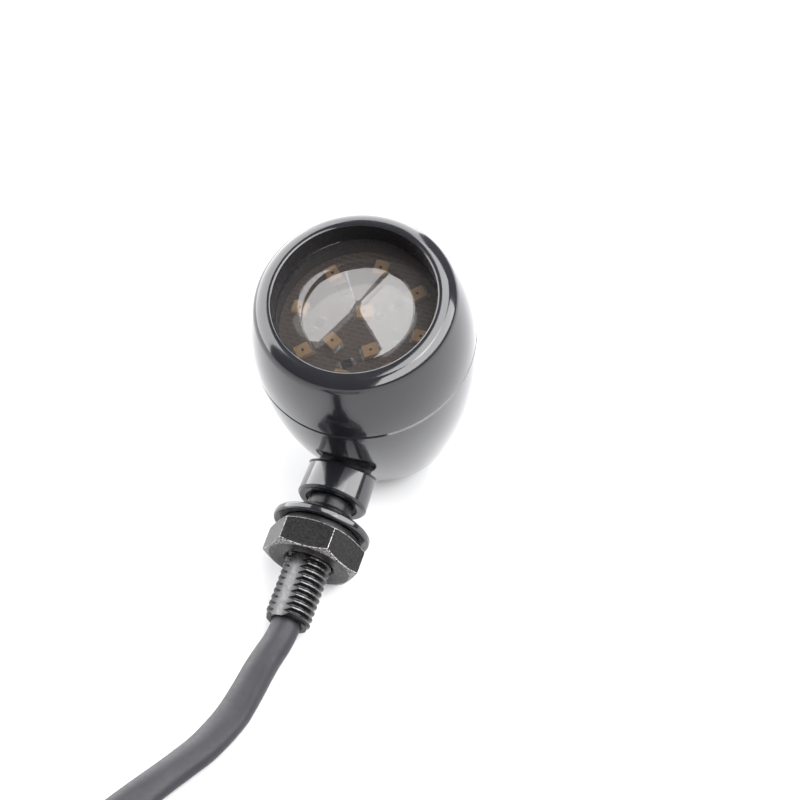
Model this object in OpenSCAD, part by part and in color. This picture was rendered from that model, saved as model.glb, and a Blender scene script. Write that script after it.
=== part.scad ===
// Bullet-shaped motorcycle turn signal indicator with a hollow threaded stud
// and a short sleeved lead, lying on a flat surface on its tail and stud end.
// Millimetres. +Z is up, the stud points along -Y and 20 degrees down.

/* [Head] */
// Radius of the barrel at the parting line
belly_r = 24.1; // [23:0.1:26]
// Radius of the long arc that runs from the parting line to the tail
side_arc_r = 89; // [80:1:100]
// Distance of the tail's corner centre behind the parting line
tail_z = 38.25; // [36:0.05:40]
// Corner radius of the tail
tail_fillet = 5.7; // [4:0.1:7]
// Radius of the shallow dome that closes the tail
tail_dome = 38; // [30:1:60]
// Radius of the short arc that runs from the parting line to the rim
front_arc_r = 48; // [44:1:56]
// Height of the rim in front of the parting line
bezel_len = 17.4; // [16:0.1:19]
// Outer corner radius of the rim
rim_fillet = 3.8; // [2:0.1:4]
// Radius of the round opening in front of the lens
opening_r = 17.5; // [16:0.1:17.6]
// Chamfer of both edges of the parting line
parting_chamfer = 0.3; // [0.1:0.05:0.5]

/* [Lens] */
// Height of the flat ring of the lens above the parting line
lens_z = 11.2; // [10:0.1:12]
// Radius of the raised cone in the middle of the lens
cone_r = 11.85; // [10:0.05:14]
// Slope of the cone in degrees
cone_slope = 12; // [6:1:16]
// Radius that rounds the tip of the cone
cone_tip_r = 8; // [4:1:12]
// Thickness of the lens
lens_wall = 2.4; // [1.8:0.1:2.6]

/* [Board] */
// Radius of the LED board
board_r = 17.5; // [16.5:0.1:17.7]
// Height of the board's front face above the parting line
board_z = 5.8; // [5:0.1:6]
// Thickness of the board
board_t = 1.6; // [1:0.1:1.6]
// Number of LED chips in the outer ring
led_count = 8; // [6:1:10]
// Radius of the outer ring of LED chips
led_ring_r = 13.6; // [12:0.1:14]
// Length, width and height of one LED chip
led_size = [3.5, 3, 1.3]; // [1:0.1:4]

/* [Stem] */
// Distance of the stem's axis behind the parting line
stem_z = 21; // [19:0.5:23]
// Radius of the mitred collar
collar_r = 7.7; // [7:0.1:8]
// Distance of the collar's lower face from the barrel's axis
collar_end = 30.3; // [29:0.1:32]
// Distance of the collar's mitred face from the barrel's axis, at its middle
collar_top = 22; // [22:0.05:23]
// Angle of the mitre in degrees
mitre = 13; // [11:1:15]
// Radius of the boss that carries the collar
boss_r = 5.8; // [5.5:0.1:6]
// Radius of the swivel journal at the stud's inner end
journal_r = 4.1; // [4:0.05:4.3]
// Radius of the stud's thread, M10
stud_r = 5; // [5:1:5]
// Radius of the hole through the stud
stud_bore_r = 3.35; // [3.2:0.05:3.4]
// Distance of the stud's end from the barrel's axis
stud_end = 59.4; // [56:0.1:64]
// Distance of the flat along the thread from the stud's axis
stud_flat = 4; // [3.9:0.05:4.4]
// Direction of that flat about the stud's axis in degrees
flat_angle = 112; // [0:1:359]

/* [Mounting] */
// Radius of the trumpet flange
flange_r = 10.8; // [10:0.1:12]
// Distance of the flange's clamping face from the barrel's axis
flange_end = 37.25; // [36:0.05:38]
// Width of the nut across its flats
nut_af = 18.8; // [17:0.1:19]
// Thickness of the nut
nut_t = 6.5; // [5:0.1:7]
// Radius of the washer under the nut
washer_r = 8.6; // [8:0.1:9]
// Thickness of the washer
washer_t = 1.2; // [0.8:0.1:1.3]

/* [Cord] */
// Radius of the soft sleeve around the two wires
cord_r = 3.2; // [3:0.1:3.3]
// Radius of one insulated wire
wire_r = 0.9; // [0.7:0.05:1]
// Middle radius of the coil's outermost turn
coil_r = 38.5; // [36:0.5:42]
// Number of turns in the coil
coil_turns = 1.2; // [1:0.1:1.5]

/* [Hidden] */
$fn = 96;

// Gap between faces that turn or slide past each other
face_gap = 0.3;
// Radial clearance of a running fit
fit_gap = 0.08;
// Clearance of pieces that are assembled and then stay put
seat_gap = 0.02;
// Lean of the barrel from upright, and slope of the stud below level
lean = 20;

// Barrel outline: centres of its arcs, radius first, height second
side_c = belly_r - side_arc_r;
tail_c = side_c + sqrt(pow(side_arc_r - tail_fillet, 2) - pow(tail_z, 2));
side_end = atan2(tail_z, tail_c - side_c);
dome_drop = sqrt(pow(tail_dome - tail_fillet, 2) - pow(tail_c, 2));
dome_end = asin(tail_c / (tail_dome - tail_fillet));
front_c = belly_r - front_arc_r;
rim_z = bezel_len - rim_fillet;
rim_c = front_c + sqrt(pow(front_arc_r - rim_fillet, 2) - pow(rim_z, 2));
front_end = atan2(rim_z, rim_c - front_c);
rim_inner_fillet = 0.5;
edge_z = face_gap / 2 + parting_chamfer;

// Inside of the barrel
skirt_r = 21.3;
skirt_len = 8.2;
skirt_bore = 19.4;
skirt_hole = skirt_r + fit_gap;
shoulder_z = 10;
cavity_r = 17;
tail_wall = 3.75;
pillar_r = 3.2;
pillar_ring = 14.8;
pillar_len = 9;
pillar_drop = 0.1;
pillar_angles = [90, 210, 330];
screw_r = 1.25;
o_ring_r = 0.5;
o_ring_ring = 22;
groove_r = 22.6;
groove_depth = 1.25;

// Lens and carrier
lens_r = skirt_bore - face_gap;
lip_z = lens_z + face_gap;
cone_step = 0.2;
gasket_in = 17.7;
gasket_t = 1.1;
lens_back = lens_z - lens_wall;
carrier_r = skirt_bore - face_gap;
carrier_in = 17.8;
carrier_top = lens_back - gasket_t - face_gap;
carrier_floor = 1.2;
shelf_in = 16;
shelf_t = 1.2;

// Stem, as distances from the barrel's axis
pad_d = 17.2;
pad_r = 7.2;
boss_flange_r = 6.9;
boss_flange_t = 1.5;
boss_bore = journal_r + 0.05;
boss_end = collar_end - face_gap;
seal_d = 24.5;
seal_r = 0.4;
stud_start = 12.8;
clip_d = 13.6;
clip_t = 1.1;
clip_groove_r = 3.75;
clip_r = 5.9;
spring_t = 0.7;
spring_r = 6.6;
rim_t = 1.4;
trumpet_top = 32.8;
trumpet_r = 5.6;
washer_d = flange_end + 0.1;
nut_d = washer_d + washer_t + 0.1;
nut_chamfer = 0.75;
thread_gap = 0.1;

// Resting pose: the lowest points of the stud's end and of the tail meet the floor
stud_contact = stud_end * sin(lean) + (stem_z + stud_r) * cos(lean);
tail_contact = tail_c * sin(lean) + tail_z * cos(lean) + tail_fillet;
head_h = max(stud_contact, tail_contact);
back_reach = side_arc_r + side_c * cos(lean);
front_reach = stud_end * cos(lean) - (stem_z - stud_r) * sin(lean);
head_y = (front_reach - back_reach) / 2;

// Cord: its middle line from inside the stud to the start of the coil
coil_centre = [9, -136];
coil_step = 2 * cord_r + 0.2;
sleeve_inside = 12;
cord_route = [
  [0, -26.2, 8.8], [0, -31.8, 6.75], [0, -37.5, 4.7], [0, -39.5, 4.05],
  [-0.3, -42.5, 3.45], [-0.8, -46, 3.25], [-1.2, -50.5, 3.2], [-1.4, -57, 3.2],
  [-2, -65, 3.2], [-4, -73, 3.2], [-6.6, -79, 3.2], [-9.2, -84.5, 3.2],
  [-12, -90.5, 3.2], [-15.2, -97.5, 3.2], [-18.5, -104.5, 3.2], [-22, -112, 3.2],
  [-25.9, -119.7, 3.2]
];
live_route = [
  [-11.9, -158.4, 4.3], [-8.5, -160, 3.9], [-4.7, -160.1, 3.3], [-1, -159.4, 2.2],
  [2.7, -158.8, 1.2], [6.1, -157.5, 1], [8.9, -154.8, 1.1], [10.4, -151.4, 1.9],
  [10.4, -147.8, 2.5], [10.1, -145.8, 2.6]
];
ground_route = [
  [-11.9, -158.4, 2.1], [-9.2, -159.6, 1.7], [-6.2, -159.7, 1.2], [-3.4, -158.6, 1],
  [-1.3, -156.5, 1], [-0.1, -153.8, 1.6], [-0.1, -151, 2.4], [-0.4, -149, 2.6]
];
board_wire_r = 0.55;
board_wire_route = [
  [3, 3, 5.7], [3, 3, 3.2], [3, 2.4, -4], [2.6, -1, -12], [1.7, -6, -18], [1.1, -9.6, -20.7],
  [1.1, -12.4, -21]
];
boot_r = 2.5;
boot_len = 13;
bullet_r = 2;

// Middles of the chips inside the outer ring, with their turn in degrees
inner_leds = [[0, 2.6, 20], [4.3, -5.8, 35], [-4.3, -5.8, -30]];
resistor_places = [[0.2, -9.9, 40], [-8.6, -2.2, 80], [8.2, -1, 100], [6.2, 6.8, 45]];
diode_place = [-6.2, 7.2, 130];

function arc(cx, cy, r, from, to, steps) =
  [for (i = [0 : steps]) let (a = from + (to - from) * i / steps) [cx + r * cos(a), cy + r * sin(a)]];

function unit(v) = v / norm(v);

function heading(path, i) = unit(path[min(i + 1, len(path) - 1)] - path[max(i - 1, 0)]);

// Rings of points around a path; up is any direction that the path never follows
function sweep_rings(path, r, sides, up) = [
  for (i = [0 : len(path) - 1])
    let (t = heading(path, i), s = unit(cross(t, up)), u = cross(s, t))
    for (k = [0 : sides - 1]) path[i] + r * (cos(360 * k / sides) * s + sin(360 * k / sides) * u)
];

function sweep_faces(rings, sides) = concat(
  [[for (k = [0 : sides - 1]) k]],
  [for (i = [0 : rings - 2], k = [0 : sides - 1])
    let (a = i * sides + k, b = i * sides + (k + 1) % sides) [a, a + sides, b + sides, b]],
  [[for (k = [sides - 1 : -1 : 0]) (rings - 1) * sides + k]]
);

module sweep_tube(path, r, sides, up) {
  polyhedron(sweep_rings(path, r, sides, up), sweep_faces(len(path), sides), convexity = 10);
}

// Barrel frame: +Z runs from the tail to the lens, origin in the parting plane
module head_frame() {
  translate([0, head_y, head_h])
    rotate([lean, 0, 0])
      children();
}

// Stem frame: +Z runs outward along the stud, +Y towards the lens
module stem_frame() {
  head_frame()
    translate([0, 0, -stem_z])
      rotate([90, 0, 0])
        children();
}

module ring(outer, inner, from, to) {
  rotate_extrude()
    translate([inner, from])
      square([outer - inner, to - from]);
}

module torus(middle, section, z) {
  rotate_extrude()
    translate([middle, z])
      circle(section, $fn = 24);
}

module rear_housing() {
  color("#1b1b1d") head_frame() difference() {
    union() {
      housing_shell();
      for (a = pillar_angles) screw_pillar(a);
    }
    stem_hole();
    for (a = pillar_angles) rotate(a) translate([pillar_ring, 0, -shoulder_z - 6])
      cylinder(r = screw_r + seat_gap, h = 7);
  }
}

module housing_shell() {
  outside = concat(
    [[belly_r - parting_chamfer, -face_gap / 2]],
    arc(side_c, 0, side_arc_r, -asin(edge_z / side_arc_r), -side_end, 18),
    arc(tail_c, -tail_z, tail_fillet, -side_end, -90 + dome_end, 10),
    arc(0, dome_drop - tail_z, tail_dome, -90 + dome_end, -90, 5)
  );
  inside = [
    [0, tail_wall - tail_dome + dome_drop - tail_z], [9.5, -40.9], [12.4, -38], [15, -33],
    [cavity_r, -26], [cavity_r, -shoulder_z], [skirt_hole, -shoulder_z],
    [skirt_hole, -groove_depth - face_gap / 2], [groove_r, -groove_depth - face_gap / 2],
    [groove_r, -face_gap / 2]
  ];
  rotate_extrude() polygon(concat(outside, inside));
}

// Pillar for a carrier screw; its top stays just below the shoulder that seats the carrier
module screw_pillar(a) {
  rotate(a)
    translate([pillar_ring, 0, -shoulder_z - pillar_len])
      cylinder(r = pillar_r, h = pillar_len - pillar_drop);
}

module stem_hole() {
  translate([0, 0, -stem_z]) rotate([90, 0, 0]) {
    translate([0, 0, 8]) cylinder(r = pad_r, h = pad_d - 8);
    cylinder(r = boss_r + seat_gap, h = 40);
  }
}

module swivel_boss() {
  color("#232325") stem_frame() difference() {
    union() {
      translate([0, 0, pad_d - boss_flange_t]) cylinder(r = boss_flange_r, h = boss_flange_t);
      translate([0, 0, pad_d]) cylinder(r = boss_r, h = boss_end - pad_d);
    }
    cylinder(r = boss_bore, h = 40);
    ring(boss_bore + 2 * seal_r + 0.04, 1, seal_d - seal_r - 0.1, seal_d + seal_r + 0.1);
  }
}

module mitred_collar() {
  color("#1b1b1d") stem_frame() difference() {
    rotate_extrude() polygon([
      [boss_r + seat_gap, 18], [collar_r, 18], [collar_r, collar_end - 0.5],
      [collar_r - 0.5, collar_end], [boss_r + seat_gap, collar_end]
    ]);
    translate([0, 0, collar_top]) rotate([mitre, 0, 0]) translate([-15, -15, -15])
      cube([30, 30, 15]);
  }
}

module boss_seal() {
  color("#101010") stem_frame() torus(boss_bore + seal_r + 0.02, seal_r, seal_d);
}

module board_carrier() {
  color("#202022") head_frame() difference() {
    rotate_extrude() polygon([
      [11.5, -shoulder_z], [skirt_r - 0.1, -shoulder_z], [skirt_r - 0.1, carrier_floor - shoulder_z],
      [carrier_r, carrier_floor - shoulder_z], [carrier_r, carrier_top], [carrier_in, carrier_top],
      [carrier_in, board_z - board_t], [shelf_in, board_z - board_t],
      [shelf_in, board_z - board_t - shelf_t], [carrier_in, board_z - board_t - shelf_t],
      [carrier_in, carrier_floor - shoulder_z], [11.5, carrier_floor - shoulder_z]
    ]);
    for (a = pillar_angles) rotate(a) translate([pillar_ring, 0, -shoulder_z - 1])
      cylinder(r = screw_r + 0.1, h = 4);
  }
}

module carrier_screws() {
  color("#9a9a9c") head_frame() for (a = pillar_angles) rotate(a)
    translate([pillar_ring, 0, carrier_floor - shoulder_z]) difference() {
      union() {
        translate([0, 0, -6]) cylinder(r = screw_r, h = 6);
        cylinder(r = 2.2, h = 1.3);
      }
      translate([-0.3, -1.4, 0.7]) cube([0.6, 2.8, 1]);
      translate([-1.4, -0.3, 0.7]) cube([2.8, 0.6, 1]);
    }
}

module housing_o_ring() {
  color("#101010") head_frame() torus(o_ring_ring, o_ring_r, -face_gap / 2 - groove_depth + o_ring_r + 0.02);
}

module led_board() {
  color("#8a6f55") head_frame() difference() {
    translate([0, 0, board_z - board_t]) cylinder(r = board_r, h = board_t);
    for (x = [-3, 3]) translate([x, 3, 0]) cylinder(r = board_wire_r + 0.05, h = 10, $fn = 24);
  }
}

// One chip with its emitting window sunk into its face
module led_chip() {
  difference() {
    translate([-led_size[0] / 2, -led_size[1] / 2, 0]) cube(led_size);
    translate([0, 0, led_size[2] - 0.35]) cylinder(r1 = 1, r2 = 1.25, h = 0.5, $fn = 32);
  }
}

module led_chips() {
  color("#d9a45a") head_frame() translate([0, 0, board_z]) {
    for (i = [0 : led_count - 1]) rotate(360 * i / led_count) translate([led_ring_r, 0, 0]) led_chip();
    for (p = inner_leds) translate([p[0], p[1], 0]) rotate(p[2]) led_chip();
  }
}

module resistors() {
  color("#2b2622") head_frame() for (p = resistor_places)
    translate([p[0], p[1], board_z]) rotate(p[2]) translate([-1.6, -0.8, 0]) cube([3.2, 1.6, 0.6]);
}

module protection_diode() {
  color("#1d1d1f") head_frame() translate([diode_place[0], diode_place[1], board_z])
    rotate(diode_place[2]) translate([-2.1, -1.3, 0]) cube([4.2, 2.6, 1.1]);
}

module solder_joints() {
  color("#b8b8ba") head_frame() for (x = [-3, 3]) translate([x, 3, board_z])
    cylinder(r1 = 1.1, r2 = 0.5, h = 0.8, $fn = 32);
}

module live_board_wire() {
  color("#7a2f1c") head_frame() sweep_tube(board_wire_route, board_wire_r, 8, [1, 0, 0]);
}

module ground_board_wire() {
  color("#161616") head_frame()
    sweep_tube([for (p = board_wire_route) [-p[0], p[1], p[2]]], board_wire_r, 8, [1, 0, 0]);
}

// Flat ring with a raised cone, hollow behind so that its wall stays even
module lens() {
  tip_r = cone_tip_r * sin(cone_slope);
  flank = (cone_r - tip_r) * tan(cone_slope);
  tip_centre = lens_z + cone_step + flank - cone_tip_r * cos(cone_slope);
  inner_r = cone_r - 0.6;
  inner_flank = inner_r * tan(cone_slope);
  outside = concat(
    arc(0, tip_centre, cone_tip_r, 90, 90 - cone_slope, 6),
    [[cone_r, lens_z + cone_step], [cone_r + 0.15, lens_z], [lens_r, lens_z], [lens_r, lens_back]]
  );
  inside = [[inner_r, lens_back], [0, lens_back + inner_flank]];
  color("#6a625c", 0.45) head_frame() rotate_extrude() polygon(concat(outside, inside));
}

module lens_gasket() {
  color("#141414") head_frame() ring(lens_r, gasket_in, lens_back - gasket_t, lens_back);
}

module front_bezel() {
  outside = concat(
    [[belly_r - parting_chamfer, face_gap / 2]],
    arc(front_c, 0, front_arc_r, asin(edge_z / front_arc_r), front_end, 12),
    arc(rim_c, rim_z, rim_fillet, front_end, 90, 10),
    arc(opening_r + rim_inner_fillet, bezel_len - rim_inner_fillet, rim_inner_fillet, 90, 180, 4)
  );
  inside = [
    [opening_r, lip_z], [skirt_bore, lip_z], [skirt_bore, -skirt_len],
    [skirt_r - 0.4, -skirt_len], [skirt_r, 0.4 - skirt_len], [skirt_r, face_gap / 2]
  ];
  color("#1b1b1d") head_frame() rotate_extrude() polygon(concat(outside, inside));
}

module threaded_stud() {
  color("#3a3a3c") stem_frame() difference() {
    rotate_extrude() polygon([
      [stud_bore_r, stud_start], [journal_r, stud_start], [journal_r, clip_d], [clip_groove_r, clip_d],
      [clip_groove_r, clip_d + clip_t], [journal_r, clip_d + clip_t], [journal_r, collar_end],
      [stud_r, collar_end], [stud_r, stud_end - 0.4], [stud_r - 0.4, stud_end], [stud_bore_r, stud_end]
    ]);
    rotate(flat_angle) translate([stud_flat, -6, flange_end + 2]) cube([5, 12, 30]);
  }
}

module swivel_spring_washer() {
  color("#a8a8aa") stem_frame()
    ring(spring_r, journal_r + seat_gap, clip_d + clip_t, clip_d + clip_t + spring_t);
}

// Open ring whose gap faces the lens
module swivel_circlip() {
  color("#5a5a5c") stem_frame() difference() {
    ring(clip_r, clip_groove_r + seat_gap, clip_d, clip_d + clip_t);
    translate([-1.5, 0, clip_d - 1]) cube([3, 10, 4]);
  }
}

module trumpet_flange() {
  flare = [for (t = [0 : 0.1 : 1]) [
    trumpet_r + (flange_r - 0.3 - trumpet_r) * (0.8 * t + 0.2 * t * t),
    trumpet_top + (flange_end - rim_t - trumpet_top) * t
  ]];
  color("#1b1b1d") stem_frame() rotate_extrude() polygon(concat(
    [[stud_r + seat_gap, trumpet_top]], flare,
    [[flange_r, flange_end - rim_t + 0.3], [flange_r, flange_end - 0.3], [flange_r - 0.3, flange_end],
      [stud_r + seat_gap, flange_end]]
  ));
}

module cable_seal() {
  color("#151515") stem_frame() difference() {
    translate([0, 0, stud_start]) cylinder(r = stud_bore_r - seat_gap, h = 5);
    for (x = [-1.1, 1.1]) translate([x, 0, 0]) cylinder(r = wire_r + seat_gap, h = 40, $fn = 32);
  }
}

module stem_wires() {
  color("#5a2a1c") stem_frame() for (x = [-1.1, 1.1])
    translate([x, 0, stud_start]) cylinder(r = wire_r, h = stud_end - sleeve_inside - 0.2 - stud_start, $fn = 32);
}

module mounting_washer() {
  color("#8d8d8f") stem_frame() ring(washer_r, stud_r + thread_gap, washer_d, washer_d + washer_t);
}

module mounting_nut() {
  corner_r = nut_af / sqrt(3);
  face_r = nut_af / 2 - 0.3;
  color("#2c2a2c") stem_frame() translate([0, 0, nut_d]) difference() {
    intersection() {
      cylinder(r = corner_r, h = nut_t, $fn = 6);
      rotate_extrude() polygon([
        [0, 0], [face_r, 0], [corner_r + 0.1, nut_chamfer], [corner_r + 0.1, nut_t - nut_chamfer],
        [face_r, nut_t], [0, nut_t]
      ]);
    }
    translate([0, 0, -1]) cylinder(r = stud_r + thread_gap, h = nut_t + 2);
  }
}

module cable_sleeve() {
  color("#5c5c62") sweep_tube(cord_route, cord_r, 12, [0, 0, 1]);
}

module cable_coil() {
  inner = coil_r - coil_turns * coil_step - cord_r;
  outer = coil_r + cord_r;
  color("#5c5c62") translate([coil_centre[0], coil_centre[1], 0]) rotate_extrude() polygon(concat(
    arc(outer - cord_r, cord_r, cord_r, -90, 90, 8), arc(inner + cord_r, cord_r, cord_r, 90, 270, 8)
  ));
}

module live_tail_wire() {
  color("#7a2f1c") sweep_tube(live_route, wire_r, 8, [0, 0, 1]);
}

module ground_tail_wire() {
  color("#161616") sweep_tube(ground_route, wire_r, 8, [0, 0, 1]);
}

// Frame at the end of a wire: +Z runs out of it, level with the floor
module tail_frame(route) {
  last = route[len(route) - 1];
  step = last - route[len(route) - 2];
  translate(last)
    rotate([90, 0, atan2(step[1], step[0]) + 90])
      children();
}

// Turned bullet terminal, with its crimp inside the boot
module bullet_terminal() {
  rotate_extrude() polygon(concat(
    [[0, 0], [wire_r, 0], [wire_r, 1], [1.5, 1], [1.5, boot_len + 2], [bullet_r, boot_len + 2]],
    arc(0, boot_len + 6.4, bullet_r, 0, 90, 8)
  ));
}

module terminal_boot() {
  rotate_extrude() polygon([
    [wire_r + seat_gap, 0], [1.9, 0], [boot_r, 2], [boot_r, boot_len], [1.5 + seat_gap, boot_len],
    [1.5 + seat_gap, 1 - seat_gap], [wire_r + seat_gap, 1 - seat_gap]
  ]);
}

module live_terminal() {
  color("#c9a052") tail_frame(live_route) bullet_terminal();
}

module ground_terminal() {
  color("#c9a052") tail_frame(ground_route) bullet_terminal();
}

module live_terminal_boot() {
  color("#1a1a1c") tail_frame(live_route) terminal_boot();
}

module ground_terminal_boot() {
  color("#1a1a1c") tail_frame(ground_route) terminal_boot();
}

rear_housing();
swivel_boss();
mitred_collar();
boss_seal();
board_carrier();
carrier_screws();
housing_o_ring();
led_board();
led_chips();
resistors();
protection_diode();
solder_joints();
live_board_wire();
ground_board_wire();
lens();
lens_gasket();
front_bezel();
threaded_stud();
swivel_spring_washer();
swivel_circlip();
trumpet_flange();
cable_seal();
stem_wires();
mounting_washer();
mounting_nut();
cable_sleeve();
cable_coil();
live_tail_wire();
ground_tail_wire();
live_terminal();
ground_terminal();
live_terminal_boot();
ground_terminal_boot();
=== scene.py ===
"""Looks of a bullet-shaped motorcycle turn signal indicator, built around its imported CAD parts.

World: metres, +Z up, the stud points along -Y and 20 degrees down, as in the CAD parts.
Outlines are in millimetres in the barrel's or the stem's own frame; HEAD and STEM take them to the world.
"""

import math

import bmesh
import bpy
import numpy as np
from mathutils import Matrix, Vector


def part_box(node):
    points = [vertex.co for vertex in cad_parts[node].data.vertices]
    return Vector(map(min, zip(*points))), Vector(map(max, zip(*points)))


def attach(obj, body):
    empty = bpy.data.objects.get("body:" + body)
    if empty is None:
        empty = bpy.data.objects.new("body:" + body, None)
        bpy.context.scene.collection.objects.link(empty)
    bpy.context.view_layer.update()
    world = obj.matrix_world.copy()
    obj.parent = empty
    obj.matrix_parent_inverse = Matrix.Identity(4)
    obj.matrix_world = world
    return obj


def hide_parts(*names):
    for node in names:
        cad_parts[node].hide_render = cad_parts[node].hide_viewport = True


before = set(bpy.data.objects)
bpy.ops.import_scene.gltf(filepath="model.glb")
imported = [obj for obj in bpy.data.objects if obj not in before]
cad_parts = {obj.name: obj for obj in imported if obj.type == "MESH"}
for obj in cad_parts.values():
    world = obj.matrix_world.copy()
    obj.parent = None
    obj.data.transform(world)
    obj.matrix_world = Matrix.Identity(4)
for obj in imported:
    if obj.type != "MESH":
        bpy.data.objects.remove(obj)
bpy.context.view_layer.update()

MM = 0.001
LEAN = math.radians(20)
BOARD_MIDDLE_Z = 5.0
STEM_Z = 21.0


# ---------------------------------------------------------------- frames

def middle(node):
    low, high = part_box(node)
    return (low + high) / 2


BARREL_AXIS = Vector((0, -math.sin(LEAN), math.cos(LEAN)))
HEAD = (
    Matrix.Translation(middle("led_board") - BARREL_AXIS * BOARD_MIDDLE_Z * MM)
    @ Matrix.Rotation(LEAN, 4, "X")
    @ Matrix.Scale(MM, 4)
)
STEM = HEAD @ Matrix.Translation((0, 0, -STEM_Z)) @ Matrix.Rotation(math.pi / 2, 4, "X")
WORLD = Matrix.Scale(MM, 4)


def turn(degrees, axis="Z"):
    return Matrix.Rotation(math.radians(degrees), 4, axis)


def move(x, y, z):
    return Matrix.Translation((x, y, z))


# ---------------------------------------------------------------- camera

# The camera looks at TARGET from DISTANCE metres.
TARGET = Vector((0.01215, -0.00018, 0.04037))
AZIMUTH = math.radians(19.74)
ELEVATION = math.radians(43.6)
DISTANCE = 0.70


def add_camera():
    back = Vector((
        math.sin(AZIMUTH) * math.cos(ELEVATION),
        -math.cos(AZIMUTH) * math.cos(ELEVATION),
        math.sin(ELEVATION),
    ))
    data = bpy.data.cameras.new("camera")
    data.lens = 149.5
    data.sensor_width = 36
    camera = bpy.data.objects.new("camera", data)
    camera.location = TARGET + back * DISTANCE
    camera.rotation_euler = (math.pi / 2 - ELEVATION, 0, AZIMUTH)
    bpy.context.scene.collection.objects.link(camera)
    bpy.context.scene.camera = camera


# ---------------------------------------------------------------- outlines

def arc(cx, cy, r, start, end, steps):
    angles = [math.radians(start + (end - start) * i / steps) for i in range(steps + 1)]
    return [(cx + r * math.cos(a), cy + r * math.sin(a)) for a in angles]


def rounded(corners, steps=4):
    """A closed outline through (x, y, radius) corners, each rounded by its radius."""
    out = []
    for i, (x, y, r) in enumerate(corners):
        here = np.array((x, y), float)
        if not r:
            out.append((x, y))
            continue
        before = np.array(corners[i - 1][:2], float) - here
        after = np.array(corners[(i + 1) % len(corners)][:2], float) - here
        before /= np.linalg.norm(before)
        after /= np.linalg.norm(after)
        half = math.acos(max(-1, min(1, float(before @ after)))) / 2
        centre = here + (before + after) / np.linalg.norm(before + after) * r / math.sin(half)
        first = here + before * r / math.tan(half) - centre
        last = here + after * r / math.tan(half) - centre
        swing = math.pi - 2 * half
        for k in range(steps + 1):
            t = swing * k / steps
            p = (math.sin(swing - t) * first + math.sin(t) * last) / math.sin(swing)
            out.append(tuple(centre + p))
    return out


def rectangle(width, length, radius, steps=3):
    corners = [(1, 1), (-1, 1), (-1, -1), (1, -1)]
    return rounded([(sx * width / 2, sy * length / 2, radius) for sx, sy in corners], steps)


# ---------------------------------------------------------------- shapes

ROUND_STEPS = 192
WELD = 1e-7
SAME = 1e-6


def circle(steps):
    return np.linspace(0, 2 * math.pi, steps, False)


class Shape:
    """Vertices and faces of one piece, gathered from grids of points."""

    def __init__(self):
        self.points = []
        self.faces = []
        self.finish = []
        # Per-point brightness mask: rubbed wear on the nut, painted glint and highlight on the stud.
        self.wear_and_glint = []

    def grid(self, rows, place, ring=False, finish=0, wear_and_glint=0.0):
        """rows[i][k] are points and k runs round. i closes too if ring is true, else the ends are capped."""
        rows = np.asarray(rows, float)
        count, around = rows.shape[:2]
        start = len(self.points)
        matrix = np.array(place)
        flat = rows.reshape(-1, 3) @ matrix[:3, :3].T + matrix[:3, 3]
        self.points += flat.tolist()
        self.wear_and_glint += np.broadcast_to(wear_and_glint, (count, around)).reshape(-1).tolist()
        faces = []
        for i in range(count if ring else count - 1):
            a = start + i * around
            b = start + (i + 1) % count * around
            faces += [(a + k, a + (k + 1) % around, b + (k + 1) % around, b + k) for k in range(around)]
        if not ring:
            faces.append(tuple(start + k for k in reversed(range(around))))
            faces.append(tuple(start + (count - 1) * around + k for k in range(around)))
        self.faces += faces
        self.finish += [finish] * len(faces)
        return self

    def revolve(self, outline, place, angles=None, shape=None, finish=0, wear_and_glint=0.0):
        """Turns a closed (radius, height) outline round Z. shape may change r and z by angle."""
        if angles is None:
            angles = np.arange(ROUND_STEPS) * 2 * math.pi / ROUND_STEPS
        r, z = (np.array(v, float)[:, None] * np.ones(len(angles)) for v in zip(*outline))
        if shape:
            r, z = shape(r, z, angles)
        rows = np.stack([r * np.cos(angles), r * np.sin(angles), z], axis=2)
        return self.grid(rows, place, ring=True, finish=finish, wear_and_glint=wear_and_glint)

    def slab(self, outline, levels, place, finish=0):
        """Stacks the outline at (height, scale) levels."""
        flat = np.array(outline, float)
        rows = [[(x * s, y * s, z) for x, y in flat] for z, s in levels]
        return self.grid(rows, place, finish=finish)

    def build(self, name, body, slot, finishes, replaces=(), sharp=35.0):
        mesh = bpy.data.meshes.new(name)
        mesh.from_pydata(self.points, [], self.faces)
        mesh.polygons.foreach_set("material_index", self.finish)
        # Stored per point: rubbed wear on the nut, painted glint and highlight on the stud.
        worn_and_glinting = mesh.attributes.new("wear_and_glint", "FLOAT", "POINT")
        worn_and_glinting.data.foreach_set("value", self.wear_and_glint)
        bm = bmesh.new()
        bm.from_mesh(mesh)
        bmesh.ops.remove_doubles(bm, verts=bm.verts, dist=WELD)
        bmesh.ops.dissolve_degenerate(bm, edges=bm.edges, dist=WELD)
        bmesh.ops.recalc_face_normals(bm, faces=bm.faces)
        bm.to_mesh(mesh)
        bm.free()
        smooth(mesh, sharp)
        for finish in finishes:
            mesh.materials.append(finish)
        piece = bpy.data.objects.new(name, mesh)
        bpy.context.scene.collection.objects.link(piece)
        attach(piece, body)
        if replaces:
            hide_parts(*replaces)
        return piece


def smooth(mesh, sharp):
    mesh.polygons.foreach_set("use_smooth", [True] * len(mesh.polygons))
    mesh.set_sharp_from_angle(angle=math.radians(sharp))
    mesh.update()


def cut(piece, tool, sharp=35.0):
    """Takes the tool's volume out of the piece and deletes the tool."""
    modifier = piece.modifiers.new("cut", "BOOLEAN")
    modifier.object = tool
    modifier.solver = "EXACT"
    graph = bpy.context.evaluated_depsgraph_get()
    mesh = bpy.data.meshes.new_from_object(piece.evaluated_get(graph))
    piece.modifiers.remove(modifier)
    old = piece.data
    piece.data = mesh
    mesh.name = old.name
    bpy.data.meshes.remove(old)
    bpy.data.objects.remove(tool)
    smooth(mesh, sharp)


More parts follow.
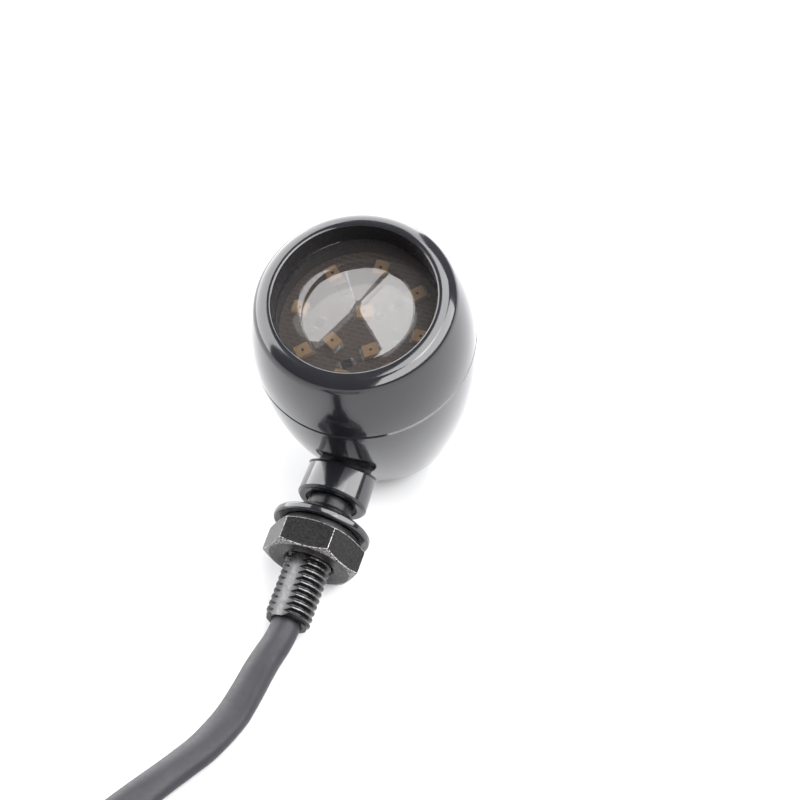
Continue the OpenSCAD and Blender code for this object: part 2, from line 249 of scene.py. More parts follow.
def plain(points_shape, name):
    """An undeclared helper object from a Shape, for cutting."""
    mesh = bpy.data.meshes.new(name)
    mesh.from_pydata(points_shape.points, [], points_shape.faces)
    tool = bpy.data.objects.new(name, mesh)
    bpy.context.scene.collection.objects.link(tool)
    return tool


# ---------------------------------------------------------------- materials

class Look:
    """A Principled material whose detail comes from procedural nodes."""

    def __init__(self, name, **sockets):
        self.material = bpy.data.materials.new(name)
        self.material.use_nodes = True
        self.tree = self.material.node_tree
        self.shader = self.tree.nodes["Principled BSDF"]
        self.place = self.add("ShaderNodeTexCoord").outputs["Object"]
        for key, value in sockets.items():
            self.set(key.replace("_", " ").title().replace("Ior", "IOR"), value)

    def add(self, kind, inputs=None, **settings):
        node = self.tree.nodes.new(kind)
        for key, value in settings.items():
            setattr(node, key, value)
        for key, value in (inputs or {}).items():
            self.feed(node.inputs[key], value)
        return node

    def feed(self, socket, value):
        if isinstance(value, bpy.types.NodeSocket):
            self.tree.links.new(value, socket)
        elif socket.type == "RGBA" and len(value) == 3:
            socket.default_value = (*value, 1)
        else:
            socket.default_value = value

    def set(self, socket, value):
        self.feed(self.shader.inputs[socket], value)
        return self

    def noise(self, scale, detail=3.0, rough=0.55, stretch=(1, 1, 1), warp=0.0):
        where = self.add("ShaderNodeMapping", {"Vector": self.place, "Scale": stretch}).outputs[0]
        return self.add(
            "ShaderNodeTexNoise",
            {"Vector": where, "Scale": scale, "Detail": detail, "Roughness": rough, "Distortion": warp},
        ).outputs["Fac"]

    def specks(self, scale, size):
        """1 inside small scattered dots, 0 elsewhere."""
        dots = self.add("ShaderNodeTexVoronoi", {"Vector": self.place, "Scale": scale}).outputs["Distance"]
        return self.span(dots, size, size * 0.5, 0, 1)

    def span(self, value, low, high, new_low, new_high):
        return self.add(
            "ShaderNodeMapRange",
            {"Value": value, "From Min": low, "From Max": high, "To Min": new_low, "To Max": new_high},
        ).outputs[0]

    def maths(self, operation, a, b=0.0):
        return self.add("ShaderNodeMath", {0: a, 1: b}, operation=operation).outputs[0]

    def mix(self, factor, a, b):
        node = self.add("ShaderNodeMix", data_type="RGBA")
        self.feed(node.inputs[0], factor)
        self.feed(node.inputs[6], a)
        self.feed(node.inputs[7], b)
        return node.outputs[2]

    def bump(self, height, distance, strength=1.0):
        node = self.add("ShaderNodeBump", {"Height": height, "Distance": distance, "Strength": strength})
        return self.set("Normal", node.outputs[0])

    # Reads the per-point mask that holds rubbed wear on the nut and painted glints and highlight on the
    # stud.
    def worn_and_glinting(self):
        return self.add("ShaderNodeAttribute", attribute_name="wear_and_glint").outputs["Fac"]


def gloss_black():
    look = Look("gloss_black", coat_weight=0.35, coat_roughness=0.05, specular_ior_level=0.36)
    haze = look.noise(260, 4)
    dust = look.specks(1500, 0.05)
    look.set("Base Color", look.mix(dust, (0.006, 0.006, 0.0075), (0.03, 0.03, 0.034)))
    look.set("Roughness", look.span(haze, 0.3, 0.7, 0.10, 0.18))
    look.bump(look.noise(2400, 2), 0.000003)
    return look.material


def matt_bore():
    look = Look("matt_bore", specular_ior_level=0.12)
    look.set("Base Color", look.mix(look.specks(2600, 0.12), (0.005, 0.0045, 0.005), (0.03, 0.028, 0.028)))
    look.set("Roughness", look.span(look.noise(1500), 0.3, 0.7, 0.4, 0.6))
    look.bump(look.noise(2800, 3), 0.00001)
    return look.material


def dark_boss():
    look = Look("dark_boss", specular_ior_level=0.08)
    look.set("Base Color", look.mix(look.noise(700), (0.004, 0.004, 0.005), (0.009, 0.009, 0.010)))
    look.set("Roughness", look.span(look.noise(1500, 3), 0.3, 0.7, 0.30, 0.48))
    look.bump(look.noise(3200, 2, stretch=(1, 1, 0.3)), 0.000008)
    return look.material


def stud_steel():
    look = Look("stud_steel", metallic=0.6, specular_ior_level=0.35)
    # The bright colour is the stud's painted glint on the thread crests and painted highlight on the flat.
    worn_and_glinting = look.maths("MULTIPLY", look.worn_and_glinting(), look.span(look.noise(1100, 4), 0.3, 0.6, 0.45, 1))
    stain = look.mix(look.noise(420, 4), (0.004, 0.004, 0.0045), (0.014, 0.0135, 0.0145))
    look.set("Base Color", look.mix(worn_and_glinting, stain, (0.20, 0.195, 0.20)))
    look.set("Roughness", look.span(look.noise(1300, 3), 0.3, 0.7, 0.22, 0.36))
    look.bump(look.noise(2600, 3, stretch=(1, 1, 0.35)), 0.000008)
    return look.material


def black_oxide():
    look = Look("black_oxide", metallic=0.4, specular_ior_level=0.28)
    scuff = look.span(look.noise(2300, 5, rough=0.7), 0.46, 0.62, 0, 1)
    worn_and_glinting = look.maths("MULTIPLY", look.worn_and_glinting(), look.span(look.noise(2600, 4, rough=0.7), 0.42, 0.55, 0, 1))
    stain = look.mix(scuff, (0.003, 0.0027, 0.003), (0.013, 0.012, 0.0125))
    look.set("Base Color", look.mix(worn_and_glinting, stain, (0.46, 0.44, 0.43)))
    look.set("Roughness", look.span(look.noise(2100, 4), 0.3, 0.7, 0.24, 0.40))
    look.bump(look.noise(3400, 4, rough=0.7), 0.000014)
    return look.material


def washer_steel():
    look = Look("washer_steel", metallic=0.5, specular_ior_level=0.3)
    look.set("Base Color", look.mix(look.noise(800, 4), (0.008, 0.008, 0.009), (0.022, 0.022, 0.023)))
    look.set("Roughness", look.span(look.noise(1500), 0.3, 0.7, 0.3, 0.5))
    look.bump(look.noise(2500, 3), 0.000012)
    return look.material


def bright_steel(name, tint, low, high):
    look = Look(name, metallic=1.0)
    darker = tuple(0.75 * c for c in tint)
    look.set("Base Color", look.mix(look.noise(900, 4), darker, tint))
    look.set("Roughness", look.span(look.noise(1800, 3, stretch=(1, 1, 0.2)), 0.3, 0.7, low, high))
    look.bump(look.noise(4000, 2, stretch=(1, 1, 0.2)), 0.000006)
    return look.material


def smoked_lens():
    look = Look(
        "smoked_lens", base_color=(0.02, 0.018, 0.018), ior=1.50, alpha=0.50,
        coat_weight=1.0, coat_roughness=0.02, coat_ior=1.5, specular_ior_level=0.5,
    )
    look.set("Roughness", look.span(look.noise(300, 3), 0.3, 0.7, 0.035, 0.075))
    look.bump(look.noise(120, 2), 0.00001)
    return look.material


def black_rubber():
    look = Look("black_rubber", specular_ior_level=0.35)
    look.set("Base Color", look.mix(look.noise(900), (0.012, 0.012, 0.012), (0.03, 0.03, 0.03)))
    look.set("Roughness", look.span(look.noise(1600), 0.3, 0.7, 0.55, 0.8))
    look.bump(look.noise(3000, 3), 0.00002)
    return look.material


def carrier_plastic():
    look = Look("carrier_plastic", specular_ior_level=0.4)
    look.set("Base Color", look.mix(look.noise(500), (0.010, 0.010, 0.011), (0.02, 0.02, 0.021)))
    look.set("Roughness", look.span(look.noise(1200), 0.3, 0.7, 0.4, 0.6))
    look.bump(look.noise(3500, 2), 0.00001)
    return look.material


def board_mask():
    look = Look("board", specular_ior_level=0.5)
    tracks = look.add("ShaderNodeTexBrick", {
        "Vector": look.place, "Scale": 260.0, "Mortar Size": 0.035,
        "Color1": (0, 0, 0), "Color2": (0.25, 0.25, 0.25), "Mortar": (1, 1, 1),
    }).outputs["Color"]
    base = look.mix(look.noise(350, 4), (0.105, 0.075, 0.06), (0.20, 0.15, 0.12))
    look.set("Base Color", look.mix(look.maths("MULTIPLY", tracks, 0.55), base, (0.30, 0.23, 0.17)))
    look.set("Roughness", look.span(look.noise(1400), 0.3, 0.7, 0.3, 0.45))
    look.bump(tracks, 0.00002)
    return look.material


def led_package():
    look = Look("led_package", specular_ior_level=0.5)
    look.set("Base Color", look.mix(look.noise(1500), (0.80, 0.46, 0.20), (0.95, 0.64, 0.34)))
    look.set("Roughness", look.span(look.noise(2500), 0.3, 0.7, 0.3, 0.5))
    look.bump(look.noise(6000, 2), 0.000006)
    return look.material


def led_gel():
    look = Look("led_gel", coat_weight=1.0, coat_roughness=0.03)
    look.set("Base Color", look.mix(look.noise(2600, 4), (0.72, 0.30, 0.06), (0.9, 0.52, 0.16)))
    look.set("Roughness", look.span(look.noise(2500), 0.3, 0.7, 0.15, 0.3))
    look.bump(look.noise(5000, 2), 0.00001)
    return look.material


def dark_chip(name, low, high):
    look = Look(name, specular_ior_level=0.5)
    look.set("Base Color", look.mix(look.noise(2200), low, high))
    look.set("Roughness", look.span(look.noise(3000), 0.3, 0.7, 0.3, 0.5))
    look.bump(look.noise(6000, 2), 0.000008)
    return look.material


def tinned(name, tint):
    look = Look(name, metallic=1.0)
    darker = tuple(0.7 * c for c in tint)
    look.set("Base Color", look.mix(look.noise(2000, 4), darker, tint))
    look.set("Roughness", look.span(look.noise(2600), 0.3, 0.7, 0.2, 0.42))
    look.bump(look.noise(4200, 3), 0.00003)
    return look.material


def wire_cover(name, low, high):
    look = Look(name, specular_ior_level=0.45)
    look.set("Base Color", look.mix(look.noise(600, 3), low, high))
    look.set("Roughness", look.span(look.noise(1500), 0.3, 0.7, 0.33, 0.5))
    look.bump(look.noise(2500, 2), 0.00001)
    return look.material


def sleeve_cover():
    look = Look("sleeve", specular_ior_level=0.2, sheen_weight=0.03, sheen_roughness=0.5)
    cloudy = look.noise(160, 4)
    look.set("Base Color", look.mix(cloudy, (0.0075, 0.0072, 0.0095), (0.014, 0.0135, 0.017)))
    look.set("Roughness", look.span(look.noise(900), 0.3, 0.7, 0.38, 0.52))
    fine = look.noise(5200, 2)
    look.bump(look.maths("ADD", look.maths("MULTIPLY", fine, 0.25), look.noise(420, 3)), 0.00005)
    return look.material


# ---------------------------------------------------------------- barrel

# The barrel's frame: z is 0 at the parting line and grows towards the lens, and r is from the barrel's axis.
BELLY_R = 24.1  # largest radius, at the parting line
SIDE_ARC_R = 89.0  # curve of the rear shell's side
TAIL_Z = 38.25  # how far the tail's fillet centre lies behind the parting line
TAIL_FILLET = 5.7  # rounding between the side and the tail
TAIL_DOME = 38.0  # curve of the tail's end
FRONT_ARC_R = 48.0  # curve of the front ring's side
BEZEL_LEN = 17.4  # height of the rim
RIM_FILLET = 3.8  # rounding of the rim's outer edge
OPENING_R = 17.5  # the round opening in front of the lens
RIM_INNER = 0.5  # rounding of the opening's edge
HALF_GAP = 0.15  # half the width of the parting line
CHAMFER = 0.3  # chamfer of both edges of the parting line

# _C is the radius of an arc's centre and _END the angle where it runs smoothly into the next arc.
SIDE_C = BELLY_R - SIDE_ARC_R
TAIL_C = SIDE_C + math.sqrt((SIDE_ARC_R - TAIL_FILLET) ** 2 - TAIL_Z ** 2)
SIDE_END = math.degrees(math.atan2(TAIL_Z, TAIL_C - SIDE_C))
DOME_DROP = math.sqrt((TAIL_DOME - TAIL_FILLET) ** 2 - TAIL_C ** 2)
DOME_END = math.degrees(math.asin(TAIL_C / (TAIL_DOME - TAIL_FILLET)))
FRONT_C = BELLY_R - FRONT_ARC_R
RIM_Z = BEZEL_LEN - RIM_FILLET
RIM_C = FRONT_C + math.sqrt((FRONT_ARC_R - RIM_FILLET) ** 2 - RIM_Z ** 2)
FRONT_END = math.degrees(math.atan2(RIM_Z, RIM_C - FRONT_C))
EDGE_Z = HALF_GAP + CHAMFER

# The front ring's threaded skirt, and the shell's mouth and pillars that it meets.
SKIRT_R = 21.3
SKIRT_BORE = 19.4
SKIRT_END = -8.2
SKIRT_HOLE = SKIRT_R + 0.08  # the shell's mouth, with its clearance
SHOULDER_Z = -10.0  # the step at the bottom of the mouth
SKIRT_PITCH = 1.5
SKIRT_THREAD = 0.45  # depth of the thread
SKIRT_ROOT = 0.2  # half the width of its root
SKIRT_FLANK = 0.4  # width of its flank
LIP_Z = 11.5  # back of the ring's lip, in front of the lens
STEM_HOLE_R = 5.82
PILLAR_PLACE = 14.8  # distance of a screw's pillar from the barrel's axis
PILLAR_ANGLES = (90, 210, 330)
PILLAR_R = 3.2
PILLAR_BORE = 1.27
PILLAR_FOOT = -19
PILLAR_TOP = -10.1


def groove(z, angles, pitch, root_half, flank):
    """Depth share of a right-hand thread: 0 on the crest, 1 at the root."""
    phase = (z / pitch - angles / (2 * math.pi)) % 1 - 0.5
    away = np.abs(phase) * pitch
    return np.clip(1 - (away - root_half) / flank, 0, 1)


def housing_outline():
    start = -math.degrees(math.asin(EDGE_Z / SIDE_ARC_R))
    outside = (
        arc(SIDE_C, 0, SIDE_ARC_R, start, -SIDE_END, 48)
        + arc(TAIL_C, -TAIL_Z, TAIL_FILLET, -SIDE_END, -90 + DOME_END, 28)[1:]
        + arc(0, DOME_DROP - TAIL_Z, TAIL_DOME, -90 + DOME_END, -90, 14)[1:]
    )
    inside = [(0, -41.5), (9.5, -40.9), (12.4, -38), (15, -33), (17, -26), (17, SHOULDER_Z)]
    bore = [(SKIRT_HOLE, SHOULDER_Z + 0.2 * k) for k in range(42)]
    mouth = [(SKIRT_HOLE, -1.4), (22.6, -1.4), (22.6, -HALF_GAP), (BELLY_R - CHAMFER, -HALF_GAP)]
    return outside + inside + bore + mouth


def housing_bore(r, z, angles):
    """Cuts the bezel's thread into the mouth of the housing."""
    threaded = (np.abs(r - SKIRT_HOLE) < SAME) & (z > SHOULDER_Z + 0.5) & (z < -1.5)
    depth = SKIRT_THREAD * groove(z, angles, SKIRT_PITCH, SKIRT_ROOT, SKIRT_FLANK)
    return r + np.where(threaded, depth, 0), z


def add_housing(finishes):
    shell = Shape().revolve(housing_outline(), HEAD, shape=housing_bore)
    piece = shell.build("rear_shell", "head", "gloss_black", [finishes["gloss_black"]], ["rear_housing"])
    hole = Shape()
    round_hole = [(STEM_HOLE_R * math.cos(a), STEM_HOLE_R * math.sin(a)) for a in circle(96)]
    hole.slab(round_hole, [(10, 1), (30, 1)], STEM)
    cut(piece, plain(hole, "stem_hole"))
    pillars = Shape()
    outline = rounded([
        (PILLAR_BORE, PILLAR_FOOT, 0), (PILLAR_R, PILLAR_FOOT, 0.3), (PILLAR_R, PILLAR_TOP, 0.2),
        (PILLAR_BORE, PILLAR_TOP, 0.1),
    ])
    for angle in PILLAR_ANGLES:
        pillars.revolve(outline, HEAD @ turn(angle) @ move(PILLAR_PLACE, 0, 0), angles=circle(48))
    pillars.build("screw_pillars", "head", "gloss_black", [finishes["gloss_black"]])


def bezel_outline():
    start = math.degrees(math.asin(EDGE_Z / FRONT_ARC_R))
    outside = (
        arc(FRONT_C, 0, FRONT_ARC_R, start, FRONT_END, 36)
        + arc(RIM_C, RIM_Z, RIM_FILLET, FRONT_END, 90, 32)[1:]
        + arc(OPENING_R + RIM_INNER, BEZEL_LEN - RIM_INNER, RIM_INNER, 90, 180, 8)
    )
    inside = [
        (OPENING_R, LIP_Z + 0.15), (OPENING_R + 0.15, LIP_Z), (SKIRT_BORE, LIP_Z), (SKIRT_BORE, SKIRT_END),
    ]
    skirt = [(SKIRT_R - 0.4, SKIRT_END), (SKIRT_R, SKIRT_END + 0.4)]
    skirt += [(SKIRT_R, SKIRT_END + 0.4 + 0.15 * k) for k in range(1, 49)]
    seat = [(SKIRT_R, HALF_GAP), (BELLY_R - CHAMFER, HALF_GAP)]
    return outside + inside + skirt + seat


def bezel_skirt(r, z, angles):
    """Cuts the thread into the outside of the skirt."""
    threaded = (np.abs(r - SKIRT_R) < SAME) & (z > SKIRT_END + 0.6) & (z < -1.2)
    depth = SKIRT_THREAD * groove(z, angles, SKIRT_PITCH, SKIRT_ROOT, SKIRT_FLANK)
    return r - np.where(threaded, depth, 0), z


def add_bezel(finishes):
    """The wall between the rim and the lens is matt, and all the rest is glossy."""
    outline = bezel_outline()
    ring = Shape().revolve(outline, HEAD, shape=bezel_skirt)
    ends = outline[1:] + outline[:1]
    for i, (here, after) in enumerate(zip(outline, ends)):
        if max(here[0], after[0]) < SKIRT_BORE - 0.01 and max(here[1], after[1]) < BEZEL_LEN - 0.3:
            ring.finish[i * ROUND_STEPS:(i + 1) * ROUND_STEPS] = [1] * ROUND_STEPS
    looks = [finishes["gloss_black"], finishes["matt_bore"]]
    ring.build("front_ring", "bezel", "gloss_black", looks, ["front_bezel"])


# ---------------------------------------------------------------- lens and board

LENS_Z = 11.2  # front face of the flat ring
LENS_BACK = 8.8
LENS_R = 19.1
CONE_R = 11.85  # foot of the cone
CONE_SLOPE = 12.0  # degrees
CONE_TIP = 8.0  # rounding of its tip
CONE_STEP = 0.2  # height of the step at its foot
BOARD_Z = 5.8  # front face of the board


def add_lens(finishes):
    slope = math.radians(CONE_SLOPE)
    tip_r = CONE_TIP * math.sin(slope)
    tip_centre = LENS_Z + CONE_STEP + (CONE_R - tip_r) * math.tan(slope) - CONE_TIP * math.cos(slope)
    run = CONE_R - 0.3 - tip_r
    flank_top = tip_centre + CONE_TIP * math.cos(slope)
    flank = [(tip_r + run * k / 12, flank_top - run * k / 12 * math.tan(slope)) for k in range(1, 13)]
    foot = [(CONE_R, LENS_Z + CONE_STEP - 0.04), (CONE_R + 0.12, LENS_Z + 0.03), (CONE_R + 0.3, LENS_Z)]
    outside = arc(0, tip_centre, CONE_TIP, 90, 90 - CONE_SLOPE, 8) + flank + foot
    edge = [
        (LENS_R - 0.15, LENS_Z), (LENS_R, LENS_Z - 0.15),
        (LENS_R, LENS_BACK + 0.15), (LENS_R - 0.15, LENS_BACK),
    ]
    inner_r = CONE_R - 0.6
    inside = [(inner_r + 0.2, LENS_BACK)]
    for k in range(11):
        inside.append((inner_r * (1 - k / 10), LENS_BACK + 0.05 + inner_r * k / 10 * math.tan(slope)))
    lens = Shape().revolve(outside + edge + inside, HEAD)
    lens.build("smoked_window", "lens_unit", "smoked_lens", [finishes["smoked_lens"]], ["lens"], sharp=25)


LED_RING_R = 13.6


def on_ring(angle):
    """The place and angle of a package on the outer ring."""
    return LED_RING_R * math.cos(math.radians(angle)), LED_RING_R * math.sin(math.radians(angle)), angle


LED_PLACES = [on_ring(angle) for angle in range(0, 360, 45)]
LED_PLACES += [(0, 2.6, 20), (4.3, -5.8, 35), (-4.3, -5.8, -30)]
# Each place is x and y on the board and an angle in degrees.
RESISTOR_PLACES = [(0.2, -9.9, 40), (-8.6, -2.2, 80), (8.2, -1, 100), (6.2, 6.8, 45)]
DIODE_PLACE = (-6.2, 7.2, 130)


def on_board(x, y, angle):
    """A frame on the front face of the board."""
    return HEAD @ move(x, y, BOARD_Z) @ turn(angle)


def add_leds(finishes):
    leds = Shape()
    around = circle(32)
    bowl = rounded([
        (0, 1.12, 0), (1.0, 1.12, 0), (1.22, 1.3, 0.03), (1.34, 1.3, 0.03), (1.34, 1.1, 0), (0, 1.1, 0),
    ], 2)
    dome = [(0, 1.24), (0.5, 1.235), (0.9, 1.2), (1.08, 1.15), (1.08, 1.1), (0, 1.1)]
    for place in LED_PLACES:
        at = on_board(*place)
        leds.slab(rectangle(3.4, 2.9, 0.15), [(0.05, 1), (1.15, 1), (1.25, 0.97)], at)
        leds.revolve(bowl, at, angles=around)
        leds.revolve(dome, at, angles=around, finish=1)
        leds.slab(rectangle(0.55, 0.55, 0.03), [(1.2, 1), (1.27, 1)], at @ turn(12), finish=2)
        for side in (-1, 1):
            lead, pad = at @ move(side * 1.62, 0, 0), at @ move(side * 1.85, 0, 0)
            leds.slab(rectangle(0.34, 2.5, 0.05), [(0.02, 1), (0.75, 1), (0.8, 0.96)], lead, finish=3)
            leds.slab(rectangle(0.9, 2.9, 0.1), [(0.0, 1), (0.06, 1)], pad, finish=3)
    looks = [finishes[k] for k in ("led_package", "led_gel", "diode_body", "solder")]
    leds.build("led_packages", "head", "led_package", looks, ["led_chips"])


def add_small_parts(finishes):
    parts = Shape()
    for place in RESISTOR_PLACES:
        at = on_board(*place)
        parts.slab(rectangle(2.3, 1.5, 0.05), [(0.04, 1), (0.52, 1), (0.56, 0.97)], at)
        for side in (-1, 1):
            cap, pad = at @ move(side * 1.37, 0, 0), at @ move(side * 1.6, 0, 0)
            parts.slab(rectangle(0.46, 1.6, 0.05), [(0.02, 1), (0.56, 1), (0.6, 0.95)], cap, finish=1)
            parts.slab(rectangle(0.8, 1.8, 0.1), [(0.0, 1), (0.05, 1)], pad, finish=1)
    looks = [finishes["resistor_body"], finishes["solder"]]
    parts.build("chip_resistors", "head", "resistor_body", looks, ["resistors"])
    diode = Shape()
    at = on_board(*DIODE_PLACE)
    diode.slab(rectangle(3.6, 2.5, 0.1), [(0.08, 0.96), (0.5, 1), (1.04, 0.95), (1.08, 0.93)], at)
    for side in (-1, 1):
        lead = at @ move(side * 1.9, 0, 0)
        diode.slab(rectangle(0.7, 1.5, 0.05), [(0.0, 1), (0.22, 1), (0.26, 0.95)], lead, finish=1)
    diode.slab(rectangle(0.35, 2.2, 0.03), [(1.05, 1), (1.09, 1)], at @ move(1.1, 0, 0), finish=2)
    looks = [finishes["diode_body"], finishes["solder"], finishes["led_package"]]
    diode.build("board_diode", "head", "diode_body", looks, ["protection_diode"])


# ---------------------------------------------------------------- stem

# The stem's frame: z is the distance from the barrel's axis along the stud, and r is from the stud's axis.
COLLAR_R = 7.7
COLLAR_BORE = 5.82
COLLAR_END = 30.3
COLLAR_TOP = 22.0  # the mitred face, at its middle
MITRE = math.radians(13)
JOURNAL_R = 4.1  # the stud's inner end, which the boss turns on
CLIP_GROOVE_R = 3.75
CLIP_GROOVE_START = 13.6
CLIP_GROOVE_END = 14.7
FLANGE_NECK_R = 5.75
FLANGE_NECK_Z = 32.98
FLANGE_LIP_R = 10.35
FLANGE_LIP_Z = 35.62
FLANGE_END = 37.25  # the clamping face
STUD_R = 5.0
STUD_BORE = 3.35
STUD_START = 12.8
STUD_END = 59.4
STUD_STEPS = 288
THREAD_START = 37.4
THREAD_PITCH = 1.5
THREAD_DEPTH = 0.82
THREAD_ROOT = 0.15  # half the width of its root
THREAD_FLANK = 0.46  # width of its flank
CREST_GLINT = 0.45  # how bright the painted glint on the crests is
STUD_FLAT = 4.0  # distance of the milled flat from the stud's axis
FLAT_START = 39.25
FLAT_ANGLE = math.radians(112)
FLAT_HIGHLIGHT = 0.34  # how bright the painted highlight is along the flat's middle
FLAT_HIGHLIGHT_HALF = 1.5  # half the width of that bright strip


def add_collar(finishes):
    """The top edge follows the mitre and the bottom edge is square to the stem."""
    top = rounded([(COLLAR_BORE, 0, 0.15), (COLLAR_BORE, 5, 0), (COLLAR_R, 5, 0), (COLLAR_R, 0, 0.32)], 6)
    top_edge = [p for p in top if p[1] < 1]
    halfway = (COLLAR_BORE + COLLAR_R) / 2
    inner = [p for p in top_edge if p[0] < halfway]
    outer = [p for p in top_edge if p[0] >= halfway]
    bottom = rounded(
        [(COLLAR_R, 20, 0), (COLLAR_R, COLLAR_END - 0.5, 0.15), (COLLAR_R - 0.5, COLLAR_END, 0.15),
         (COLLAR_BORE, COLLAR_END, 0.1), (COLLAR_BORE, 20, 0)], 4,
    )[1:-1]
    outline = [(r, z + COLLAR_TOP) for r, z in outer] + bottom + [(r, z + COLLAR_TOP) for r, z in inner]
    sheared = np.array([1.0] * len(outer) + [0.0] * len(bottom) + [1.0] * len(inner))[:, None]

    def mitred(r, z, angles):
        return r, z + sheared * r * np.sin(angles) * math.tan(MITRE)

    collar = Shape().revolve(outline, STEM, shape=mitred)
    looks = [finishes["gloss_black"]]
    collar.build("mitred_sleeve", "head", "gloss_black", looks, ["mitred_collar"], sharp=50)


def add_flange(finishes):
    spread, drop = FLANGE_LIP_R - FLANGE_NECK_R, FLANGE_LIP_Z - FLANGE_NECK_Z
    flare = [
        (FLANGE_NECK_R + spread * (0.8 * t + 0.2 * t * t), FLANGE_NECK_Z + drop * t)
        for t in np.linspace(0, 1, 14)
    ]
    rim = arc(10.28, 36.25, 0.5, -60, 0, 5) + arc(10.28, 36.85, 0.5, 0, 80, 5)
    under = [
        (10.0, FLANGE_END), (5.12, FLANGE_END), (5.02, FLANGE_END - 0.1),
        (5.02, 32.95), (5.1, 32.82), (5.3, 32.8), (5.6, 32.84),
    ]
    flange = Shape().revolve(flare + rim + under, STEM)
    looks = [finishes["gloss_black"]]
    flange.build("trumpet_cup", "stem", "gloss_black", looks, ["trumpet_flange"], sharp=50)


def add_stud(finishes):
    """A journal with a groove for its clip, then the threaded length with one flat."""
    length = STUD_END - THREAD_START
    rows = int(length / 0.1)
    journal = [
        (STUD_BORE, STUD_START), (JOURNAL_R - 0.1, STUD_START), (JOURNAL_R, STUD_START + 0.1),
        (JOURNAL_R, CLIP_GROOVE_START), (CLIP_GROOVE_R, CLIP_GROOVE_START), (CLIP_GROOVE_R, CLIP_GROOVE_END),
        (JOURNAL_R, CLIP_GROOVE_END), (JOURNAL_R, COLLAR_END), (STUD_R - 0.1, COLLAR_END),
        (STUD_R, COLLAR_END + 0.1), (STUD_R, THREAD_START),
    ]
    thread = [(STUD_R, THREAD_START + length * k / rows) for k in range(1, rows)]
    tip = [
        (STUD_R, STUD_END - 0.01), (STUD_R - 0.5, STUD_END), (STUD_BORE + 0.15, STUD_END),
        (STUD_BORE, STUD_END - 0.15),
    ]
    outline = journal + thread + tip
    angles = np.arange(STUD_STEPS) * 2 * math.pi / STUD_STEPS

    def threaded(r, z, angles):
        runout = np.clip((z - THREAD_START) / 1.5, 0, 1) * (r > STUD_R - 0.01)
        depth = THREAD_DEPTH * groove(z, angles, THREAD_PITCH, THREAD_ROOT, THREAD_FLANK) * runout
        taper = np.clip(STUD_END - z, 0, 0.8) + STUD_R - 0.8
        turned = np.where(r > STUD_R - 0.01, np.minimum(r - depth, taper), r)
        away = np.cos(angles - FLAT_ANGLE)
        plane = np.where(away > 0.1, STUD_FLAT / np.maximum(away, 0.1), 99)
        flat = (z > FLAT_START) & (r > STUD_BORE + 0.3)
        return np.where(flat, np.minimum(turned, plane), turned), z

    r, z = (np.array(v, float)[:, None] * np.ones(len(angles)) for v in zip(*outline))
    cut_r, _ = threaded(r, z, angles)
    on_flat = (z > FLAT_START) & (np.abs(cut_r * np.cos(angles - FLAT_ANGLE) - STUD_FLAT) < SAME)
    # Painted glint: the thread crests are coloured bright where they would catch the light.
    wear_and_glint = np.where((z > THREAD_START) & (cut_r > STUD_R - 0.06), CREST_GLINT, 0.0)
    across = cut_r * np.sin(angles - FLAT_ANGLE)
    # Painted highlight: a bright strip down the middle of the flat, fading towards its sides.
    wear_and_glint = np.where(on_flat, FLAT_HIGHLIGHT * np.exp(-(across / FLAT_HIGHLIGHT_HALF) ** 2), wear_and_glint)
    stud = Shape().revolve(outline, STEM, angles=angles, shape=threaded, wear_and_glint=wear_and_glint)
    stud.build("hollow_stud", "stem", "stud_steel", [finishes["stud_steel"]], ["threaded_stud"], sharp=30)


NUT_AF = 18.8  # across the flats
NUT_D = 38.65  # distance of its nearer face from the barrel's axis
NUT_T = 6.5  # thickness
NUT_BORE = 5.1
NUT_CHAMFER = 0.75
NUT_EDGE = 0.22  # rounding of the six corners


